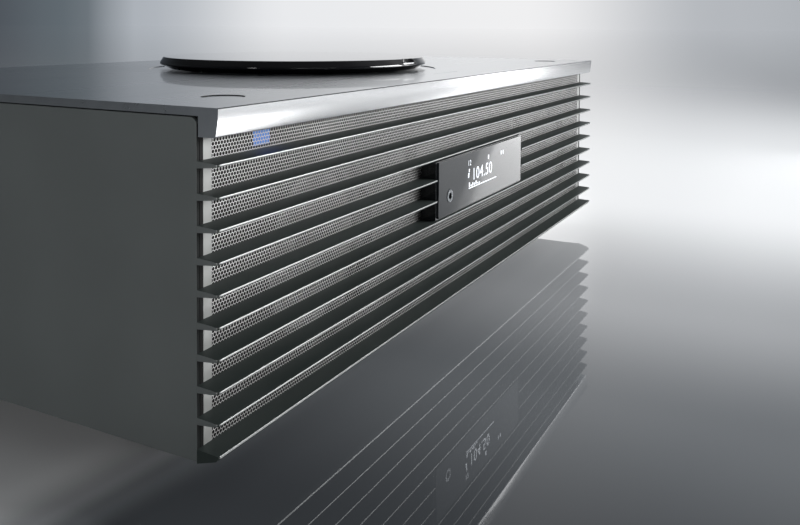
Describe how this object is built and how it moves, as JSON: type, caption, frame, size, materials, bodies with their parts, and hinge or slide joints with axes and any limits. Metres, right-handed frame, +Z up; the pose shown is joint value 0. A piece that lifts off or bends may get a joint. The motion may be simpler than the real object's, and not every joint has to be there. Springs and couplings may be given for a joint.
{
  "type": "mini hifi system",
  "caption": "Tabletop hifi system with a louvered front, a display window, a top-loading disc player under a swivelling round lid, and built-in speakers.",
  "frame": {"origin": "on the surface that the feet stand on, below the middle of the case", "axes": "+X to the listener's right, front faces -Y, +Z up"},
  "size_m": [0.45, 0.2806, 0.143],
  "materials": {
    "deck_aluminium": "brushed",
    "side_charcoal": "satin",
    "tray_black": "satin",
    "grille_silver": "matte",
    "fin_dark": "satin, bright front edges",
    "frame_black": "matte",
    "housing_black": "gloss",
    "window_smoked": "gloss",
    "display_face": "gloss",
    "circuit_board": "matte",
    "board_parts": "matte",
    "jack_metal": "polished",
    "light_pipe": "gloss",
    "button_aluminium": "brushed",
    "lid_black": "gloss",
    "shaft_steel": "satin",
    "bush_brass": "satin",
    "well_black": "satin",
    "hub_black": "satin",
    "motor_steel": "satin",
    "mechanism_steel": "satin",
    "sled_black": "satin",
    "lens_clear": "gloss",
    "rubber_black": "matte",
    "box_black": "matte",
    "basket_black": "satin",
    "cone_black": "matte",
    "magnet_iron": "satin",
    "sink_aluminium": "anodised",
    "transformer_iron": "matte",
    "socket_black": "matte",
    "foot_black": "matte",
    "screw_black": "satin"
  },
  "bodies": {
    "case": {"top_panel": "deck_aluminium", "side_panel_left": "side_charcoal", "side_panel_right": "side_charcoal", "base_tray": "tray_black", "rear_panel": "tray_black", "mains_inlet": "socket_black", "rear_sockets": "socket_black", "feet": "foot_black", "foot_pads": "rubber_black", "front_frame": "frame_black", "grille": "grille_silver", "bottom_lip": "fin_dark", "display_housing": "housing_black", "display_window": "window_smoked", "display_panel": "display_face", "display_board": "circuit_board", "headphone_jack": "jack_metal", "status_light": "light_pipe", "key_boards": "circuit_board", "lid_bush": "bush_brass", "disc_well": "well_black", "spindle_motor": "motor_steel", "mechanism_frame": "mechanism_steel", "guide_rods": "shaft_steel", "sled_motor": "motor_steel", "dampers": "rubber_black", "woofer_frame_left": "basket_black", "woofer_frame_right": "basket_black", "subwoofer_frame": "basket_black", "speaker_magnets": "magnet_iron", "tweeters": "basket_black", "speaker_box_left": "box_black", "speaker_box_right": "box_black", "subwoofer_box": "box_black", "main_board": "circuit_board", "board_parts": "board_parts", "heat_sink": "sink_aluminium", "power_board": "circuit_board", "transformer": "transformer_iron", "screws": "screw_black", "louver_1": "fin_dark", "louver_2": "fin_dark", "louver_3": "fin_dark", "louver_4": "fin_dark", "louver_5": "fin_dark", "louver_6": "fin_dark", "louver_7": "fin_dark", "louver_8": "fin_dark", "louver_9": "fin_dark"},
    "lid": {"disc_lid": "lid_black", "lid_shaft": "shaft_steel"},
    "power_button": {"power_button": "button_aluminium"},
    "source_button": {"source_button": "button_aluminium"},
    "disc_hub": {"disc_hub": "hub_black"},
    "pickup": {"pickup_sled": "sled_black", "pickup_lens": "lens_clear"},
    "lead_screw": {"lead_screw": "shaft_steel"},
    "woofer_left": {"woofer_cone_left": "cone_black"},
    "woofer_right": {"woofer_cone_right": "cone_black"},
    "subwoofer": {"subwoofer_cone": "cone_black"}
  },
  "joints": [
    {"name": "lid_swivel", "type": "hinge", "parent": "case", "child": "lid", "pos_m": [0.0686, 0.0192, 0.136], "axis": [0, 0, 1], "range_deg": [0, 170]},
    {"name": "power_press", "type": "slide", "parent": "case", "child": "power_button", "axis": [0, 0, -1], "range_m": [0, 0.0008], "stiffness_N_per_m": 300, "springref_m": -0.001},
    {"name": "source_press", "type": "slide", "parent": "case", "child": "source_button", "axis": [0, 0, -1], "range_m": [0, 0.0008], "stiffness_N_per_m": 300, "springref_m": -0.001},
    {"name": "disc_spin", "type": "hinge", "parent": "case", "child": "disc_hub", "pos_m": [0, -0.0085, 0.128], "axis": [0, 0, -1], "continuous": true},
    {"name": "pickup_slide", "type": "slide", "parent": "case", "child": "pickup", "axis": [-1, 0, 0], "range_m": [0, 0.033]},
    {"name": "lead_screw_turn", "type": "hinge", "parent": "case", "child": "lead_screw", "pos_m": [-0.04, 0.0215, 0.116], "axis": [1, 0, 0], "range_deg": [0, 3970]},
    {"name": "woofer_left_travel", "type": "slide", "parent": "case", "child": "woofer_left", "axis": [0, -1, 0], "range_m": [-0.002, 0.002], "stiffness_N_per_m": 2000},
    {"name": "woofer_right_travel", "type": "slide", "parent": "case", "child": "woofer_right", "axis": [0, -1, 0], "range_m": [-0.002, 0.002], "stiffness_N_per_m": 2000},
    {"name": "subwoofer_travel", "type": "slide", "parent": "case", "child": "subwoofer", "axis": [0, 0, -1], "range_m": [-0.002, 0.002], "stiffness_N_per_m": 2000}
  ],
  "couplings": [
    {"joint": "lead_screw_turn", "follows": "pickup_slide", "rad_per_m": 2094.4}
  ]
}
